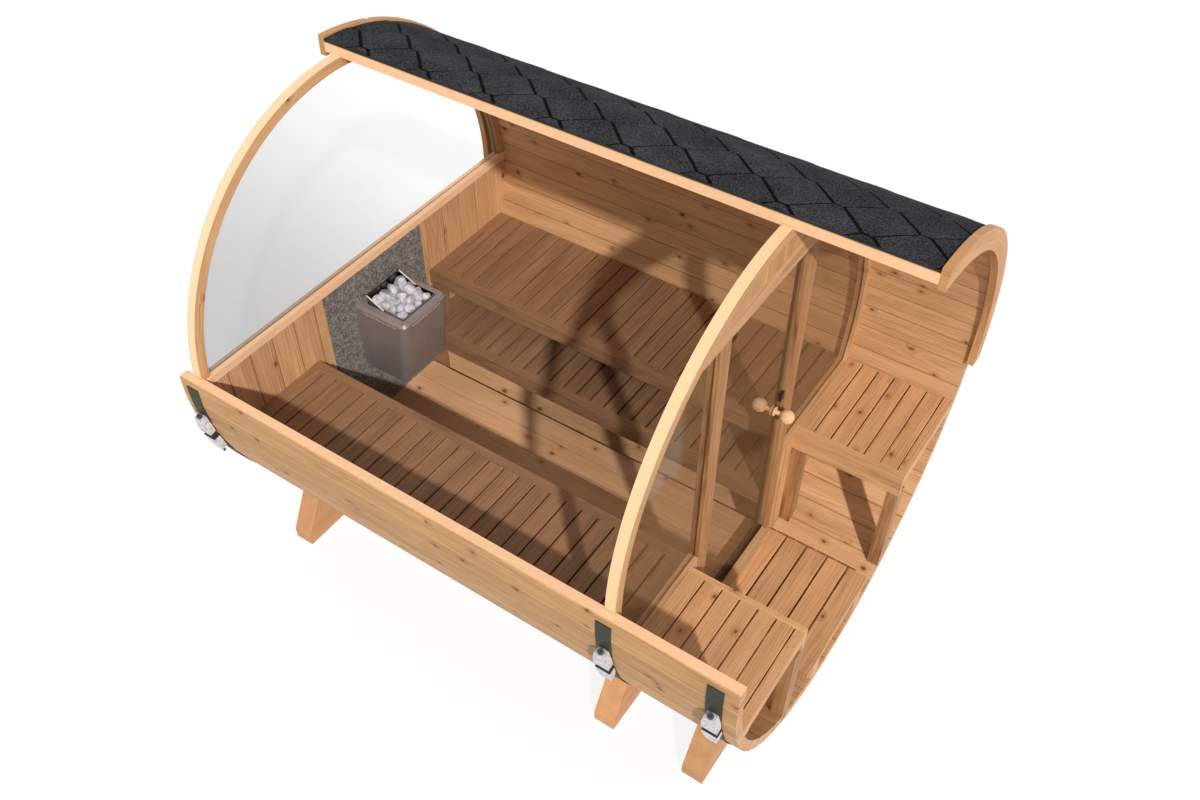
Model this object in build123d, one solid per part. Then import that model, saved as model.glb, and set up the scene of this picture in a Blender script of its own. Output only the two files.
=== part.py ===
from build123d import *
import os
from math import cos, radians, sin, sqrt, tan

os.makedirs("parts", exist_ok=True)

# barrel shell: flat-faced staves laid along X, one quarter of the round left open
barrel_length = 2468.0
outer_radius = 1000.0
stave_thickness = 42.0
stave_count = 57
open_stave_count = 14
first_seam_angle = 3.6
stave_seam = 0.3
stave_bevel = 5.0
seat_gap = 0.3
overrun = 60.0

# end walls, let into grooves in the staves
wall_thickness = 40.0
croze_depth = 9.0
rim_width = 42.0
rim_joint = 0.4
rim_segment_angle = 45.0
back_wall_inset = 44.0
front_wall_inset = 477.0
board_width = 118.0
board_seam = 0.4
board_bevel = 4.0
glass_thickness = 8.0
glass_groove = 10.0
glass_play = 0.4

# back wall
sill_rise = 45.0
sill_height = 34.0
sill_lip = 8.0
panel_width = 624.0
panel_thickness = 9.0

# front wall and doorway
doorway_near = 323.0
doorway_far = 228.0
post_width = 69.0
header_height = 77.0
lintel_height = 75.0
side_rail_height = 50.0
door_sill_height = 60.0
threshold_height = 8.0
threshold_setback = 6.0
door_sill_nose = 34.0
stop_width = 8.0
stop_depth = 10.0

# glass door on top and bottom pivots
door_gap = 6.0
pivot_offset = 26.0
pivot_radius = 6.0
pivot_length = 16.0
pivot_clearance = 0.3
pivot_plate_width = 52.0
pivot_plate_height = 46.0
pivot_plate_thickness = 5.0
knob_edge = 49.0
knob_rise = 824.0
knob_radius = 29.0
knob_stem_radius = 9.0
knob_stem_length = 22.0
knob_rose_radius = 19.0
knob_rose_thickness = 4.0
spindle_radius = 5.0
spindle_play = 0.8
catch_height = 44.0
catch_width = 24.0
catch_depth = 8.0
catch_above_knob = 52.0

# floors
floor_rise = 138.0
floor_thickness = 28.0
floor_width = 568.0
floor_board_count = 5
floor_seam = 1.0
floor_bevel = 2.0
joist_width = 60.0
joist_count = 4
porch_slat_count = 5
porch_slat_gap = 8.0
bearer_width = 60.0
bearer_setback = 60.0

# benches in the room
bench_height = 536.0
bench_slat_thickness = 26.0
bench_slat_gap = 6.0
bench_slat_count = 25
bench_slat_bevel = 2.0
bench_rail_height = 75.0
bench_rail_width = 44.0
rail_ledge_width = 24.0
rail_ledge_height = 34.0
bench_wall_gap = 3.0
ledger_width = 40.0
ledger_height = 46.0
leg_depth = 42.0
leg_width = 64.0
near_bench_setback = 117.0
floor_leg_gap = 3.5
step_height = 280.0
step_tread = 125.5
step_overlap = 284.0

# porch benches, closed at the open end by an end rail
porch_near_depth = 462.0
porch_far_depth = 503.0
porch_bench_slat_count = 6
porch_rail_width = 25.0
porch_rail_height = 116.0
porch_end_width = 36.0
porch_end_height = 59.0
porch_leg_width = 50.0
porch_leg_depth = 66.0

# round roof covering and the arched boards at its ends
shingle_thickness = 8.0
roof_end_angle = 185.2
fascia_thickness = 28.0
fascia_cover = 60.0
fascia_rise = 20.0
fascia_joint_angle = 107.0
fascia_joint = 0.5
fascia_notch = 15.0

# tension bands and their screw clamps
strap_width = 60.0
strap_thickness = 3.0
strap_top_angle = 361.8
clamp_angle = 347.2
clamp_opening = 26.0
jaw_length = 92.0
jaw_height = 29.0
jaw_end_width = 40.0
front_strap_inset = 81.0
bolt_radius = 6.0
bolt_clearance = 0.6
bolt_rise = 10.0
bolt_tail = 34.0
bolt_head_radius = 11.0
bolt_head_height = 10.0
bolt_socket_radius = 5.0
bolt_socket_depth = 6.0
hexagon_sides = 6

# cradles
ground_clearance = 104.0
cradle_thickness = 94.0
cradle_half_span = 777.0
cradle_end_height = 55.0
cradle_horn_angle = 309.0
back_cradle_inset = 157.0
middle_cradle_inset = 634.0
front_cradle_inset = 218.0

# wall-hung heater
heater_width = 296.0
heater_depth = 283.0
heater_setback = 44.0
heater_drop = 153.0
heater_height = 350.0
heater_sheet = 5.0
heater_corner = 30.0
heater_top_bevel = 12.0
tray_depth = 70.0
tray_margin = 42.0
tray_floor = 6.0
vent_count = 14
vent_width = 5.0
vent_height = 8.0
vent_drop = 18.0
vent_depth = 6.0
stone_rows = 5
stone_columns = 4
stone_gap = 3.0
stone_height = 70.0
stone_step = 4.0
stone_bevel = 13.0
guard_sheet = 3.0
guard_back_rise = 46.0
guard_front_rise = 4.0
guard_slope_share = 0.45

full_turn_angle = 360.0
centre_share = 0.5
half_turn_angle = 180.0
quarter_turn_angle = 90.0

stave_angle = full_turn_angle / stave_count
cut_angle = first_seam_angle + open_stave_count * stave_angle
axis_height = outer_radius + ground_clearance
half_length = barrel_length / 2
outer_flat = outer_radius * cos(radians(stave_angle / 2))
inner_flat = outer_flat - stave_thickness
room_radius = inner_flat - seat_gap
wall_radius = inner_flat + croze_depth - 2 * seat_gap
rim_inner = wall_radius - rim_width
frame_radius = rim_inner - seat_gap
back_wall = (-half_length + back_wall_inset, -half_length + back_wall_inset + wall_thickness)
front_wall = (half_length - front_wall_inset - wall_thickness, half_length - front_wall_inset)
room = (back_wall[1], front_wall[0])
porch = (front_wall[1], half_length)
strap_radius = outer_radius + seat_gap
strap_outer = strap_radius + strap_thickness
fascia_radii = (outer_radius - fascia_cover, outer_radius + fascia_rise)

# angle 0 is the near side, 90 the crown, 180 the far side, 270 the bottom
def spanned_angle(length, radius):
    return length / radius / radians(1)


jaw_radii = (strap_outer + seat_gap, strap_outer + seat_gap + jaw_height)
jaw_angle = spanned_angle(jaw_length, strap_outer)
open_angle = spanned_angle(clamp_opening, strap_outer) / 2
jaw_stop = jaw_radii[1] * sin(radians(open_angle + jaw_angle)) + seat_gap
bolt_line = jaw_radii[0] + bolt_rise
clamp_fall = radians(full_turn_angle - clamp_angle)
head_reach = (bolt_line + bolt_head_radius, jaw_stop + bolt_head_height)
near_reach = head_reach[0] * cos(clamp_fall) + head_reach[1] * sin(clamp_fall)
outline_shift = (fascia_radii[1] - near_reach) / 2

floor_level = floor_rise - room_radius
bench_level = floor_level + bench_height
step_level = floor_level + step_height
lintel_top = frame_radius - header_height
lintel_bottom = lintel_top - lintel_height


def save(name, solids):
    placed = [Pos(0, -outline_shift, axis_height) * solid for solid in solids]
    export_step(Compound(children=placed), f"parts/{name}.step")


def block(x_span, y_span, z_span):
    size = [span[1] - span[0] for span in (x_span, y_span, z_span)]
    corner = Pos(x_span[0], y_span[0], z_span[0])
    return corner * Box(*size, align=(Align.MIN, Align.MIN, Align.MIN))


def disc(radius, x_span):
    return extrude(Plane.YZ.offset(x_span[0]) * Circle(radius), amount=x_span[1] - x_span[0])


def slab(points, x_span):
    outline = Plane.YZ.offset(x_span[0]) * Polygon(*points, align=None)
    return extrude(outline, amount=x_span[1] - x_span[0])


def bevelled_top(across, up, bevel):
    return [(across[0], up[0]), (across[1], up[0]), (across[1], up[1] - bevel),
            (across[1] - bevel, up[1]), (across[0] + bevel, up[1]), (across[0], up[1] - bevel)]


def long_plank(x_span, y_span, z_span, bevel):
    return slab(bevelled_top(y_span, z_span, bevel), x_span)


def cross_plank(x_span, y_span, z_span, bevel):
    outline = Plane.XZ.offset(-y_span[1]) * Polygon(*bevelled_top(x_span, z_span, bevel), align=None)
    return extrude(outline, amount=y_span[1] - y_span[0])


def upright_board(x_span, y_span, z_span, bevel):
    outline = [(x_span[0], y_span[0] + bevel), (x_span[0] + bevel, y_span[0]), (x_span[1] - bevel, y_span[0]),
               (x_span[1], y_span[0] + bevel), (x_span[1], y_span[1] - bevel), (x_span[1] - bevel, y_span[1]),
               (x_span[0] + bevel, y_span[1]), (x_span[0], y_span[1] - bevel)]
    profile = Plane.XY.offset(z_span[0]) * Polygon(*outline, align=None)
    return extrude(profile, amount=z_span[1] - z_span[0])


def turn_to(angle):
    return Rot(X=quarter_turn_angle - angle)


def arc_band(radii, angles, x_span):
    sweep = angles[1] - angles[0]
    outer = CenterArc((0, 0), radii[1], half_turn_angle - angles[1], sweep)
    inner = CenterArc((0, 0), radii[0], half_turn_angle - angles[1], sweep)
    sides = [Line(outer @ 0, inner @ 0), Line(outer @ 1, inner @ 1)]
    face = make_face([outer, inner, *sides])
    return extrude(Plane.YZ.offset(x_span[0]) * face, amount=x_span[1] - x_span[0])


def half_chord(radius, height):
    return sqrt(radius ** 2 - height ** 2)


def spread(span, count, gap):
    width = (span[1] - span[0] - gap * (count - 1)) / count
    starts = [span[0] + n * (width + gap) for n in range(count)]
    return [(start, start + width) for start in starts]


def inside(solid, radius, x_span):
    return solid & disc(radius, x_span)


def across(side, inner, outer):
    return sorted((side * inner, side * outer))


# one stave: flat faces, bevelled outer edges, a croze for each end wall
def half_width(radius):
    return radius * tan(radians(stave_angle / 2)) - stave_seam / 2


bevel_radius = outer_flat - stave_bevel
stave_outline = [
    (-half_width(inner_flat), inner_flat),
    (half_width(inner_flat), inner_flat),
    (half_width(bevel_radius), bevel_radius),
    (half_width(outer_flat) - stave_bevel, outer_flat),
    (stave_bevel - half_width(outer_flat), outer_flat),
    (-half_width(bevel_radius), bevel_radius),
]
stave = slab(stave_outline, (-half_length, half_length))
croze_y = (-2 * half_width(inner_flat), 2 * half_width(inner_flat))
for wall in (back_wall, front_wall):
    croze = (wall[0] - seat_gap, wall[1] + seat_gap)
    stave -= block(croze, croze_y, (inner_flat - overrun, inner_flat + croze_depth))

stave_nodes = ["staves_crown", "staves_shoulder", "staves_far_side",
               "staves_bottom_far", "staves_bottom_near", "staves_near_side"]
closed_stave_count = stave_count - open_stave_count
for n, name in enumerate(stave_nodes):
    first = round(closed_stave_count * n / len(stave_nodes))
    last = round(closed_stave_count * (n + 1) / len(stave_nodes))
    save(name, [turn_to(cut_angle + (k + centre_share) * stave_angle) * stave for k in range(first, last)])


# arched rims in segments, grooved for the glass
def glass_slot(wall, play):
    middle = (wall[0] + wall[1]) / 2
    return (middle - glass_thickness / 2 - play, middle + glass_thickness / 2 + play)


def rim(wall, angles, groove_from):
    groove = glass_slot(wall, glass_play)
    count = round((angles[1] - angles[0]) / rim_segment_angle)
    step = (angles[1] - angles[0]) / count
    trim = spanned_angle(rim_joint, wall_radius) / 2
    slot = disc(rim_inner + glass_groove, groove)
    slot &= block(groove, (-outer_radius, outer_radius), (groove_from, outer_radius))
    pieces = []
    for n in range(count):
        ends = (angles[0] + n * step + trim, angles[0] + (n + 1) * step - trim)
        pieces.append(arc_band((rim_inner, wall_radius), ends, wall) - slot)
    return pieces


def pane(wall, y_span, z_span):
    span = glass_slot(wall, 0)
    return inside(block(span, y_span, z_span), rim_inner + glass_groove - glass_play, span)


def boards(wall, y_span, z_span, radius):
    count = round((y_span[1] - y_span[0]) / board_width)
    planks = [upright_board(wall, span, z_span, board_bevel) for span in spread(y_span, count, board_seam)]
    return [inside(plank, radius, wall) for plank in planks]


# back wall: boards below the sill, a half-moon window above it
sill_bottom = sill_rise - sill_height
rim_foot_angle = spanned_angle(sill_rise, wall_radius)
above_sill = block(back_wall, (-outer_radius, outer_radius), (sill_rise, outer_radius))
back_arc = rim(back_wall, (rim_foot_angle, half_turn_angle - rim_foot_angle), sill_rise)
save("back_rim", [piece & above_sill for piece in back_arc])
sill = inside(block(back_wall, (-wall_radius, wall_radius), (sill_bottom, sill_rise)), wall_radius, back_wall)
nose_x = (back_wall[1], back_wall[1] + sill_lip)
nose_reach = half_chord(room_radius, sill_rise)
nose = block(nose_x, (-nose_reach, nose_reach), (sill_bottom, sill_rise))
save("back_sill", [sill + nose])
save("back_boards", boards(back_wall, (-wall_radius, wall_radius), (-wall_radius, sill_bottom), wall_radius))
save("back_window", [pane(back_wall, (-outer_radius, outer_radius), (sill_rise, outer_radius))])
panel = (back_wall[1], back_wall[1] + panel_thickness)
half_panel = panel_width / 2
save("heat_panel", [block(panel, (-half_panel, half_panel), (floor_level, sill_bottom))])

# front wall: grooved rim all round, posts, lintel, header, boards under bench level
full_round = (first_seam_angle, full_turn_angle + first_seam_angle)
save("front_rim", rim(front_wall, full_round, bench_level))
post_near = (-doorway_near - post_width, -doorway_near)
post_far = (doorway_far, doorway_far + post_width)
doorway = (post_near[1], post_far[0])
pane_slot = glass_slot(front_wall, glass_play)
slot_height = (bench_level, lintel_bottom)
post_height = (floor_level, lintel_bottom)
near_slot = block(pane_slot, (post_near[0], post_near[0] + glass_groove), slot_height)
far_slot = block(pane_slot, (post_far[1] - glass_groove, post_far[1]), slot_height)
save("front_posts", [block(front_wall, post_near, post_height) - near_slot,
                     block(front_wall, post_far, post_height) - far_slot])
wall_middle = (front_wall[0] + front_wall[1]) / 2
pivot_y = doorway[0] + door_gap + pivot_offset
socket = Cylinder(pivot_radius + pivot_clearance, pivot_length + seat_gap)
socket_top = Pos(wall_middle, pivot_y, lintel_bottom + pivot_length / 2) * socket
lintel = block(front_wall, (-frame_radius, frame_radius), (lintel_bottom, lintel_top))
save("front_lintel", [inside(lintel, frame_radius, front_wall) - socket_top])
header_reach = half_chord(frame_radius, lintel_top)
header_z = (lintel_top, frame_radius)
save("front_header", boards(front_wall, (-header_reach, header_reach), header_z, frame_radius))
pane_lap = glass_groove - glass_play
save("front_side_panes", [pane(front_wall, (-outer_radius, post_near[0] + pane_lap), slot_height),
                          pane(front_wall, (post_far[1] - pane_lap, outer_radius), slot_height)])
rail_bottom = bench_level - side_rail_height
low_reach = half_chord(frame_radius, rail_bottom)
low_z = (floor_level + board_seam, rail_bottom)
wall_rails, low_boards = [], []
for side, post_edge in ((-1, -post_near[0]), (1, post_far[1])):
    rail_y = across(side, post_edge, frame_radius)
    wall_rails.append(inside(block(front_wall, rail_y, (rail_bottom, bench_level)), frame_radius, front_wall))
    board_y = across(side, post_edge, low_reach)
    low_boards += boards(front_wall, board_y, low_z, frame_radius)
base = block(front_wall, (-frame_radius, frame_radius), (-frame_radius, floor_level))
save("front_low_boards", low_boards + [inside(base, frame_radius, front_wall)])
sill_level = floor_level + door_sill_height
threshold_z = (sill_level, sill_level + threshold_height)
socket_low = Pos(wall_middle, pivot_y, threshold_z[1] - pivot_length / 2) * socket
door_sill_x = (front_wall[0], front_wall[1] + door_sill_nose)
save("front_rails", wall_rails + [block(door_sill_x, doorway, (floor_level, sill_level)) - socket_low])

# door leaf on pivots, closing on a black stop
leaf_x = glass_slot(front_wall, 0)
leaf_y = (doorway[0] + door_gap, doorway[1] - door_gap)
leaf_z = (threshold_z[1] + door_gap, lintel_bottom - door_gap)
threshold = block((front_wall[0], front_wall[1] - threshold_setback), doorway, threshold_z) - socket_low
stop_x = (leaf_x[0] - door_gap - stop_depth, leaf_x[0] - door_gap)
stop = block(stop_x, (doorway[1] - stop_width, doorway[1]), (threshold_z[1] + seat_gap, lintel_bottom))
save("door_threshold", [threshold, stop])
knob_level = floor_level + knob_rise
knob_y = leaf_y[1] - knob_edge
knob_place = Pos(wall_middle, knob_y, knob_level) * Rot(Y=quarter_turn_angle)
leaf = block(leaf_x, leaf_y, leaf_z)
save("door_leaf", [leaf - knob_place * Cylinder(spindle_radius + spindle_play, 2 * glass_thickness)])
plate_y = (leaf_y[0] + seat_gap, leaf_y[0] + pivot_plate_width)
plate_sides = ((leaf_x[0] - pivot_plate_thickness, leaf_x[0] - seat_gap),
               (leaf_x[1] + seat_gap, leaf_x[1] + pivot_plate_thickness))
pin_length = door_gap + pivot_length - 2 * seat_gap
pivots = []
for edge, up in ((leaf_z[0], 1), (leaf_z[1], -1)):
    shoe_end = edge - up * door_gap / 2
    shoe = block((plate_sides[0][0], plate_sides[1][1]), plate_y, sorted((edge - up * seat_gap, shoe_end)))
    for span in plate_sides:
        shoe += block(span, plate_y, sorted((shoe_end, edge + up * pivot_plate_height)))
    pin_middle = edge - up * (seat_gap + pin_length / 2)
    pivots.append(shoe + Pos(wall_middle, pivot_y, pin_middle) * Cylinder(pivot_radius, pin_length))
save("door_pivots", pivots)

# ball knobs on both faces, turned as one profile about the spindle
glass_half = glass_thickness / 2 + seat_gap
rose_end = glass_half + knob_rose_thickness
stem_end = rose_end + knob_stem_length
ball_centre = stem_end + sqrt(knob_radius ** 2 - knob_stem_radius ** 2)
knob_tip = ball_centre + knob_radius
ball = ThreePointArc((knob_stem_radius, stem_end), (knob_radius, ball_centre), (0, knob_tip))
shaft = Polyline((0, 0), (spindle_radius, 0), (spindle_radius, glass_half), (knob_rose_radius, glass_half),
                 (knob_rose_radius, rose_end), (knob_stem_radius, rose_end), (knob_stem_radius, stem_end))
knob_face = make_face([*shaft.edges(), ball, Line((0, knob_tip), (0, 0))])
knob = revolve(Plane.XZ * knob_face, Axis.Z)
save("door_knobs", [knob_place * (knob + Rot(X=half_turn_angle) * knob)])
catch_middle = knob_level + catch_above_knob
catch_x = (leaf_x[1] + seat_gap, leaf_x[1] + seat_gap + catch_depth)
catch_z = (catch_middle - catch_height / 2, catch_middle + catch_height / 2)
save("door_catch", [block(catch_x, (leaf_y[1] - catch_width, leaf_y[1]), catch_z)])

# floors: long boards in the room, cross slats on the porch, carried on scribed joists
floor_z = (floor_level - floor_thickness, floor_level)
floor_y = (-floor_width / 2, floor_width / 2)
room_floor = (room[0] + panel_thickness, room[1])
floor_strips = spread(floor_y, floor_board_count, floor_seam)
save("floor_boards", [long_plank(room_floor, strip, floor_z, floor_bevel) for strip in floor_strips])
porch_strips = spread(porch, porch_slat_count, porch_slat_gap)
save("porch_slats", [cross_plank(strip, floor_y, floor_z, floor_bevel) for strip in porch_strips])
under_floor = (-outer_radius, floor_z[0])
joist_step = (room_floor[1] - room_floor[0] - joist_width) / (joist_count - 1)
joists = []
for n in range(joist_count):
    start = room_floor[0] + n * joist_step
    span = (start, start + joist_width)
    joists.append(inside(block(span, floor_y, under_floor), room_radius, span))
for edge in (floor_y[0] + bearer_setback, floor_y[1] - bearer_setback - bearer_width):
    joists.append(inside(block(porch, (edge, edge + bearer_width), under_floor), room_radius, porch))
save("floor_joists", joists)

# benches: cross slats behind a front rail, carried on a wall ledger and legs
slat_bottom = bench_level - bench_slat_thickness
slat_reach = half_chord(room_radius, slat_bottom) - bench_wall_gap
ledger_z = (slat_bottom - ledger_height, slat_bottom)
near_front = floor_width / 2 + near_bench_setback
step_leg_front = floor_width / 2 + floor_leg_gap
step_seat = step_leg_front - rail_ledge_width
step_front = step_seat - bench_rail_width
upper_front = step_front + step_tread


def front_rail(x_span, front, side, level, width, height):
    # an upright board with a ledge behind it that carries the slat ends
    back = front + width
    under = level - bench_slat_thickness
    board = block(x_span, across(side, front, back), (level - height, level))
    ledge_y = across(side, back, back + rail_ledge_width)
    return board + block(x_span, ledge_y, (under - rail_ledge_height, under))


def bench_slats(x_span, front, back, side, level, count):
    y_span = across(side, front, back)
    z_span = (level - bench_slat_thickness, level)
    strips = spread(x_span, count, bench_slat_gap)
    return [cross_plank(strip, y_span, z_span, bench_slat_bevel) for strip in strips]


def wall_ledger(x_span, inner, side, z_span):
    return inside(block(x_span, across(side, inner, outer_radius), z_span), room_radius, x_span)


def legs(starts, width, y_span, top):
    found = []
    for start in starts:
        span = (start, start + width)
        found.append(inside(block(span, sorted(y_span), (-outer_radius, top)), room_radius, span))
    return found


ledger_inner = slat_reach - ledger_width
near_seat = near_front + bench_rail_width
upper_seat = upper_front + bench_rail_width
step_back = upper_front + step_overlap
save("near_bench_slats", bench_slats(room, near_seat, slat_reach, -1, bench_level, bench_slat_count))
save("upper_bench_slats", bench_slats(room, upper_seat, slat_reach, 1, bench_level, bench_slat_count))
save("step_slats", bench_slats(room_floor, step_seat, step_back, 1, step_level, bench_slat_count))
step_under = step_level - bench_slat_thickness
save("room_bench_rails", [
    front_rail(room, near_front, -1, bench_level, bench_rail_width, bench_rail_height),
    front_rail(room, upper_front, 1, bench_level, bench_rail_width, bench_rail_height),
    front_rail(room_floor, step_front, 1, step_level, bench_rail_width, bench_rail_height),
    wall_ledger(room, ledger_inner, -1, ledger_z),
    wall_ledger(room, ledger_inner, 1, ledger_z),
    wall_ledger(room, step_back - ledger_width, 1, (step_under - ledger_height, step_under)),
])
leg_starts = (room_floor[0], room[1] - leg_width)
leg_inset = (bench_rail_width - leg_depth) / 2
rail_under = bench_level - bench_rail_height
near_leg = (-near_front - leg_inset, -near_front - leg_inset - leg_depth)
upper_leg = (upper_front + leg_inset, upper_front + leg_inset + leg_depth)
room_legs = legs(leg_starts, leg_width, near_leg, rail_under)
room_legs += legs(leg_starts, leg_width, (step_leg_front, step_leg_front + leg_depth), step_under)
for start in leg_starts:
    room_legs.append(block((start, start + leg_width), upper_leg, (step_level, rail_under)))
save("room_bench_legs", room_legs)

# porch benches
porch_seat = (porch[0], porch[1] - porch_end_width - bench_slat_gap)
porch_end = (porch[1] - porch_end_width, porch[1])
porch_slats, porch_rails, porch_legs, porch_ends = [], [], [], []
porch_under = bench_level - porch_rail_height
for depth, side in ((porch_near_depth, -1), (porch_far_depth, 1)):
    front = slat_reach - depth
    back = front + porch_rail_width
    porch_slats += bench_slats(porch_seat, back, slat_reach, side, bench_level, porch_bench_slat_count)
    porch_rails.append(front_rail(porch, front, side, bench_level, porch_rail_width, porch_rail_height))
    porch_rails.append(wall_ledger(porch, ledger_inner, side, ledger_z))
    leg_y = across(side, front, front + porch_leg_depth)
    porch_legs += legs((porch[0], porch[1] - porch_leg_width), porch_leg_width, leg_y, porch_under)
    end_z = (bench_level - porch_end_height, bench_level)
    end_board = inside(block(porch_end, across(side, back, outer_radius), end_z), room_radius, porch_end)
    end_board -= block(porch_end, across(side, back, back + rail_ledge_width), (end_z[0], slat_bottom))
    porch_ends.append(end_board - block(porch_end, across(side, ledger_inner, outer_radius), ledger_z))
save("porch_bench_slats", porch_slats + porch_ends)
save("porch_bench_rails", porch_rails)
save("porch_bench_legs", porch_legs)

# roof covering and arched end boards
roof_inner = outer_radius + seat_gap
save("roof_covering", [arc_band((roof_inner, roof_inner + shingle_thickness),
                                (cut_angle, roof_end_angle), (-half_length, half_length))])
joint_half = spanned_angle(fascia_joint, fascia_radii[1]) / 2
fascia_middle_angle = (fascia_joint_angle + roof_end_angle) / 2
fascia_cuts = (cut_angle, fascia_joint_angle, fascia_middle_angle, roof_end_angle)
fascia_ends = (half_length, half_length + fascia_thickness)
notch_bar = Rot(X=half_turn_angle / 4) * Box(2 * fascia_ends[1], fascia_notch, fascia_notch)
notch = turn_to(fascia_joint_angle) * Pos(0, 0, fascia_radii[1]) * notch_bar
fascias = []
for x_span in ((-fascia_ends[1], -fascia_ends[0]), fascia_ends):
    for low, high in zip(fascia_cuts, fascia_cuts[1:]):
        fascias.append(arc_band(fascia_radii, (low + joint_half, high - joint_half), x_span) - notch)
save("roof_fascias", fascias)

# tension bands, each in two lengths drawn together by a screw clamp
strap_middles = ((back_wall[0] + back_wall[1]) / 2, wall_middle, half_length - front_strap_inset)
clamp_turn = turn_to(clamp_angle)
half_end = jaw_end_width / 2
hole = Rot(X=quarter_turn_angle) * Cylinder(bolt_radius + bolt_clearance, 4 * jaw_stop)
on_end = (Align.CENTER, Align.CENTER, Align.MIN)
shank = Cylinder(bolt_radius, 2 * jaw_stop + bolt_tail, align=on_end)
hexagon = extrude(RegularPolygon(bolt_head_radius, hexagon_sides), amount=bolt_head_height)
key_hole = extrude(RegularPolygon(bolt_socket_radius, hexagon_sides), amount=bolt_socket_depth)
head = Cylinder(bolt_head_radius, bolt_head_height, align=on_end)
head -= Pos(0, 0, bolt_head_height - bolt_socket_depth) * key_hole
upward, downward = Rot(X=-quarter_turn_angle), Rot(X=quarter_turn_angle)
bolt = Pos(0, jaw_stop, 0) * (downward * shank + upward * head) + Pos(0, -jaw_stop, 0) * downward * hexagon
straps, jaws, bolts = [], [], []
for middle in strap_middles:
    x_span = (middle - strap_width / 2, middle + strap_width / 2)
    straps.append(arc_band((strap_radius, strap_outer), (clamp_angle + open_angle, strap_top_angle), x_span))
    straps.append(arc_band((strap_radius, strap_outer), (roof_end_angle, clamp_angle - open_angle), x_span))
    for side in (1, -1):
        ends = sorted((clamp_angle + side * open_angle, clamp_angle + side * (open_angle + jaw_angle)))
        narrowing, tip = side * jaw_stop / 2, side * jaw_stop
        taper = [(x_span[0], 0), (x_span[1], 0), (x_span[1], narrowing), (middle + half_end, tip),
                 (middle - half_end, tip), (x_span[0], narrowing)]
        prism = extrude(Plane.XY * Polygon(*taper, align=None), amount=jaw_radii[1], dir=(0, 0, 1))
        jaw = arc_band(jaw_radii, ends, x_span) & clamp_turn * prism
        jaws.append(jaw - clamp_turn * Pos(middle, 0, bolt_line) * hole)
    bolts.append(clamp_turn * Pos(middle, 0, bolt_line) * bolt)
save("straps", straps)
save("strap_clamps", jaws)
save("strap_bolts", bolts)

# cradles with a round saddle
saddle = outer_radius + seat_gap
horn = (saddle * cos(radians(cradle_horn_angle)), saddle * sin(radians(cradle_horn_angle)))
foot_z = -axis_height
end_z = foot_z + cradle_end_height
cradle_outline = [(-cradle_half_span, foot_z), (cradle_half_span, foot_z), (cradle_half_span, end_z),
                  (horn[0], horn[1]), (-horn[0], horn[1]), (-cradle_half_span, end_z)]
cradle_middles = {"cradle_back": -half_length + back_cradle_inset,
                  "cradle_middle": half_length - middle_cradle_inset,
                  "cradle_front": half_length - front_cradle_inset}
for name, middle in cradle_middles.items():
    x_span = (middle - cradle_thickness / 2, middle + cradle_thickness / 2)
    save(name, [slab(cradle_outline, x_span) - disc(saddle, x_span)])

# wall-hung heater: tapered sheet case, stone tray, sheet guard
case_back = panel[1]
case_front = case_back + heater_depth
case_top = sill_bottom - heater_drop
case_z = (case_top - heater_height, case_top)
half_heater = heater_width / 2
front_run = heater_setback / heater_height


def heater_form(inset, z_span):
    def front_at(z):
        return case_front - (case_top - z) * front_run - inset

    outline = [(case_back + inset, z_span[0]), (front_at(z_span[0]), z_span[0]),
               (front_at(z_span[1]), z_span[1]), (case_back + inset, z_span[1])]
    half = half_heater - inset
    form = extrude(Plane.XZ.offset(-half) * Polygon(*outline, align=None), amount=2 * half)
    front_face = form.faces().sort_by(Axis.X)[-1]
    uprights = front_face.edges().filter_by(Axis.Y, reverse=True)
    return fillet(uprights, heater_corner - inset)


case = heater_form(0, case_z)
case = chamfer(case.faces().sort_by(Axis.Z)[-1].edges().sort_by(Axis.X)[1:], heater_top_bevel)
case -= heater_form(heater_sheet, (case_z[0] + heater_sheet, case_top - tray_depth - tray_floor))
tray_x = (case_back + tray_margin, case_front - tray_margin)
tray_y = (-half_heater + tray_margin, half_heater - tray_margin)
case -= block(tray_x, tray_y, (case_top - tray_depth, case_top + overrun))
vent_z = (case_top - vent_drop - vent_height, case_top - vent_drop)
vent_row = heater_width - 4 * heater_corner
vent_step = vent_row / (vent_count - 1)
vent_front = case_front - front_run * (vent_drop + vent_height) - vent_depth
side_start = case_back + (heater_depth - vent_row) / 2
for n in range(vent_count):
    along = (n * vent_step - vent_width / 2, n * vent_step + vent_width / 2)
    case -= block((vent_front, case_front + overrun), [place - vent_row / 2 for place in along], vent_z)
    side_x = [place + side_start for place in along]
    case -= block(side_x, (-half_heater - overrun, vent_depth - half_heater), vent_z)
    case -= block(side_x, (half_heater - vent_depth, half_heater + overrun), vent_z)
save("heater_case", [case])

stones = []
for i, x_cell in enumerate(spread(tray_x, stone_columns, stone_gap)):
    for j, y_cell in enumerate(spread(tray_y, stone_rows, stone_gap)):
        x_span = (x_cell[0] + stone_gap, x_cell[1] - stone_gap)
        y_span = (y_cell[0] + stone_gap, y_cell[1] - stone_gap)
        rise = stone_height + (2 * i + 3 * j) % stone_rows * stone_step
        stone = block(x_span, y_span, (case_top - tray_depth, case_top - tray_depth + rise))
        stones.append(chamfer(stone.edges(), stone_bevel))
save("heater_stones", stones)

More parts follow.
